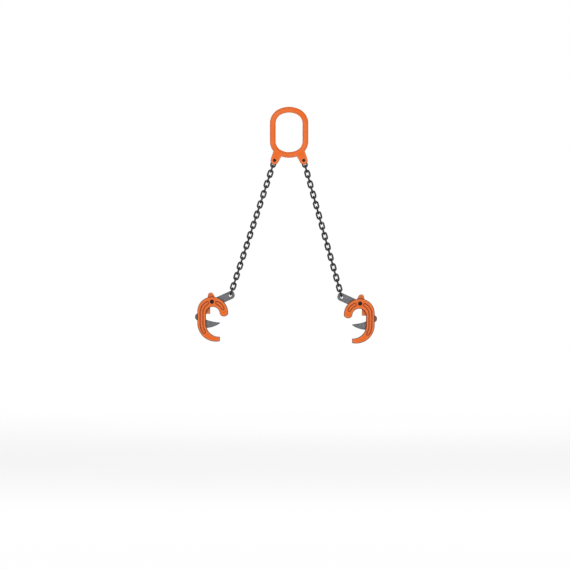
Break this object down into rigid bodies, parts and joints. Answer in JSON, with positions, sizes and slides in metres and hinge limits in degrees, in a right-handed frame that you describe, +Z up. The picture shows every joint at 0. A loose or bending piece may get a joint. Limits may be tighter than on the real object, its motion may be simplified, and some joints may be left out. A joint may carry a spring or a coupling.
{
  "type": "drum lifting clamp",
  "caption": "Drum lifting clamp: an oblong master link with chain legs, each ending in a C-shaped lever clamp that grips the rim of an upright steel drum.",
  "frame": {"origin": "the middle of the master link's inner crown, where the crane hook bears", "axes": "+Z up, away from the clamps; +X to the viewer's right across both legs; +Y away from the viewer"},
  "size_m": [0.8121, 0.0521, 1.0556],
  "materials": {
    "orange_paint": "semi-gloss orange paint over forged steel",
    "lever_steel": "heat-treated grey forged steel",
    "chain_steel": "dark oiled alloy chain steel",
    "pin_steel": "blackened steel"
  },
  "bodies": {
    "hanger": {"master_link": "orange_paint", "left_ear_pin": "pin_steel", "right_ear_pin": "pin_steel", "ear_lock_pins": "pin_steel"},
    "left_links_01": {"left_chain_links_01": "chain_steel"},
    "left_links_02": {"left_chain_links_02": "chain_steel"},
    "left_links_03": {"left_chain_links_03": "chain_steel"},
    "left_links_04": {"left_chain_links_04": "chain_steel"},
    "left_links_05": {"left_chain_links_05": "chain_steel"},
    "left_links_06": {"left_chain_links_06": "chain_steel"},
    "left_links_07": {"left_chain_links_07": "chain_steel"},
    "left_links_08": {"left_chain_links_08": "chain_steel"},
    "left_links_09": {"left_chain_links_09": "chain_steel"},
    "left_links_10": {"left_chain_links_10": "chain_steel"},
    "left_links_11": {"left_chain_links_11": "chain_steel"},
    "left_links_12": {"left_chain_links_12": "chain_steel"},
    "left_links_13": {"left_chain_links_13": "chain_steel"},
    "left_lever": {"left_lever": "lever_steel"},
    "left_clamp": {"left_front_cheek": "orange_paint", "left_rear_cheek": "orange_paint", "left_top_lug": "orange_paint", "left_rim_stop": "orange_paint", "left_jaw_block": "orange_paint", "left_heel_block": "orange_paint", "left_pivot_pin": "pin_steel", "left_pin_washer": "pin_steel", "left_split_pin": "pin_steel"},
    "right_links_01": {"right_chain_links_01": "chain_steel"},
    "right_links_02": {"right_chain_links_02": "chain_steel"},
    "right_links_03": {"right_chain_links_03": "chain_steel"},
    "right_links_04": {"right_chain_links_04": "chain_steel"},
    "right_links_05": {"right_chain_links_05": "chain_steel"},
    "right_links_06": {"right_chain_links_06": "chain_steel"},
    "right_links_07": {"right_chain_links_07": "chain_steel"},
    "right_links_08": {"right_chain_links_08": "chain_steel"},
    "right_links_09": {"right_chain_links_09": "chain_steel"},
    "right_links_10": {"right_chain_links_10": "chain_steel"},
    "right_links_11": {"right_chain_links_11": "chain_steel"},
    "right_links_12": {"right_chain_links_12": "chain_steel"},
    "right_links_13": {"right_chain_links_13": "chain_steel"},
    "right_lever": {"right_lever": "lever_steel"},
    "right_clamp": {"right_front_cheek": "orange_paint", "right_rear_cheek": "orange_paint", "right_top_lug": "orange_paint", "right_rim_stop": "orange_paint", "right_jaw_block": "orange_paint", "right_heel_block": "orange_paint", "right_pivot_pin": "pin_steel", "right_pin_washer": "pin_steel", "right_split_pin": "pin_steel"}
  },
  "joints": [
    {"name": "left_leg_swing", "type": "hinge", "parent": "hanger", "child": "left_links_01", "pos_m": [-0.065, 0, -0.2134], "axis": [0, 1, 0], "range_deg": [-36, 75]},
    {"name": "left_links_02_tilt", "type": "hinge", "parent": "left_links_01", "child": "left_links_02", "pos_m": [-0.07949, 0, -0.25759], "axis": [0.9502, 0, -0.3115], "range_deg": [-75, 75]},
    {"name": "left_links_03_swing", "type": "hinge", "parent": "left_links_02", "child": "left_links_03", "pos_m": [-0.09698, 0, -0.31094], "axis": [0, -1, 0], "range_deg": [-75, 42]},
    {"name": "left_links_04_tilt", "type": "hinge", "parent": "left_links_03", "child": "left_links_04", "pos_m": [-0.10939, 0, -0.34881], "axis": [-0.9502, 0, 0.3115], "range_deg": [-75, 75]},
    {"name": "left_links_05_swing", "type": "hinge", "parent": "left_links_04", "child": "left_links_05", "pos_m": [-0.12688, 0, -0.40217], "axis": [0, 1, 0], "range_deg": [-46, 75]},
    {"name": "left_links_06_tilt", "type": "hinge", "parent": "left_links_05", "child": "left_links_06", "pos_m": [-0.13929, 0, -0.44003], "axis": [0.9502, 0, -0.3115], "range_deg": [-75, 75]},
    {"name": "left_links_07_swing", "type": "hinge", "parent": "left_links_06", "child": "left_links_07", "pos_m": [-0.15679, 0, -0.49339], "axis": [0, -1, 0], "range_deg": [-75, 56]},
    {"name": "left_links_08_tilt", "type": "hinge", "parent": "left_links_07", "child": "left_links_08", "pos_m": [-0.1692, 0, -0.53126], "axis": [-0.9502, 0, 0.3115], "range_deg": [-75, 75]},
    {"name": "left_links_09_swing", "type": "hinge", "parent": "left_links_08", "child": "left_links_09", "pos_m": [-0.18669, 0, -0.58461], "axis": [0, 1, 0], "range_deg": [-70, 75]},
    {"name": "left_links_10_tilt", "type": "hinge", "parent": "left_links_09", "child": "left_links_10", "pos_m": [-0.1991, 0, -0.62248], "axis": [0.9502, 0, -0.3115], "range_deg": [-75, 75]},
    {"name": "left_links_11_swing", "type": "hinge", "parent": "left_links_10", "child": "left_links_11", "pos_m": [-0.21659, 0, -0.67584], "axis": [0, -1, 0], "range_deg": [-75, 75]},
    {"name": "left_links_12_tilt", "type": "hinge", "parent": "left_links_11", "child": "left_links_12", "pos_m": [-0.22901, 0, -0.7137], "axis": [-0.9502, 0, 0.3115], "range_deg": [-75, 75]},
    {"name": "left_links_13_swing", "type": "hinge", "parent": "left_links_12", "child": "left_links_13", "pos_m": [-0.2465, 0, -0.76706], "axis": [0, 1, 0], "range_deg": [-75, 75]},
    {"name": "left_lever_swing", "type": "hinge", "parent": "left_links_13", "child": "left_lever", "pos_m": [-0.26145, 0, -0.81267], "axis": [0, -1, 0], "range_deg": [-60, 75]},
    {"name": "left_clamp_grip", "type": "hinge", "parent": "left_lever", "child": "left_clamp", "pos_m": [-0.34388, 0, -0.8433], "axis": [0, 1, 0], "range_deg": [-28, 6]},
    {"name": "right_leg_swing", "type": "hinge", "parent": "hanger", "child": "right_links_01", "pos_m": [0.065, 0, -0.2134], "axis": [0, -1, 0], "range_deg": [-36, 75]},
    {"name": "right_links_02_tilt", "type": "hinge", "parent": "right_links_01", "child": "right_links_02", "pos_m": [0.07747, 0, -0.2582], "axis": [0.9634, 0, 0.2681], "range_deg": [-75, 75]},
    {"name": "right_links_03_swing", "type": "hinge", "parent": "right_links_02", "child": "right_links_03", "pos_m": [0.09252, 0, -0.31229], "axis": [0, 1, 0], "range_deg": [-75, 42]},
    {"name": "right_links_04_tilt", "type": "hinge", "parent": "right_links_03", "child": "right_links_04", "pos_m": [0.1032, 0, -0.35068], "axis": [-0.9634, 0, -0.2681], "range_deg": [-75, 75]},
    {"name": "right_links_05_swing", "type": "hinge", "parent": "right_links_04", "child": "right_links_05", "pos_m": [0.11825, 0, -0.40478], "axis": [0, -1, 0], "range_deg": [-46, 75]},
    {"name": "right_links_06_tilt", "type": "hinge", "parent": "right_links_05", "child": "right_links_06", "pos_m": [0.12894, 0, -0.44317], "axis": [0.9634, 0, 0.2681], "range_deg": [-75, 75]},
    {"name": "right_links_07_swing", "type": "hinge", "parent": "right_links_06", "child": "right_links_07", "pos_m": [0.14399, 0, -0.49726], "axis": [0, 1, 0], "range_deg": [-75, 56]},
    {"name": "right_links_08_tilt", "type": "hinge", "parent": "right_links_07", "child": "right_links_08", "pos_m": [0.15467, 0, -0.53566], "axis": [-0.9634, 0, -0.2681], "range_deg": [-75, 75]},
    {"name": "right_links_09_swing", "type": "hinge", "parent": "right_links_08", "child": "right_links_09", "pos_m": [0.16973, 0, -0.58975], "axis": [0, -1, 0], "range_deg": [-70, 75]},
    {"name": "right_links_10_tilt", "type": "hinge", "parent": "right_links_09", "child": "right_links_10", "pos_m": [0.18041, 0, -0.62814], "axis": [0.9634, 0, 0.2681], "range_deg": [-75, 75]},
    {"name": "right_links_11_swing", "type": "hinge", "parent": "right_links_10", "child": "right_links_11", "pos_m": [0.19546, 0, -0.68224], "axis": [0, 1, 0], "range_deg": [-75, 75]},
    {"name": "right_links_12_tilt", "type": "hinge", "parent": "right_links_11", "child": "right_links_12", "pos_m": [0.20614, 0, -0.72063], "axis": [-0.9634, 0, -0.2681], "range_deg": [-75, 75]},
    {"name": "right_links_13_swing", "type": "hinge", "parent": "right_links_12", "child": "right_links_13", "pos_m": [0.2212, 0, -0.77472], "axis": [0, -1, 0], "range_deg": [-75, 75]},
    {"name": "right_lever_swing", "type": "hinge", "parent": "right_links_13", "child": "right_lever", "pos_m": [0.23406, 0, -0.82097], "axis": [0, 1, 0], "range_deg": [-60, 75]},
    {"name": "right_clamp_grip", "type": "hinge", "parent": "right_lever", "child": "right_clamp", "pos_m": [0.31639, 0, -0.85163], "axis": [0, -1, 0], "range_deg": [-28, 6]}
  ]
}
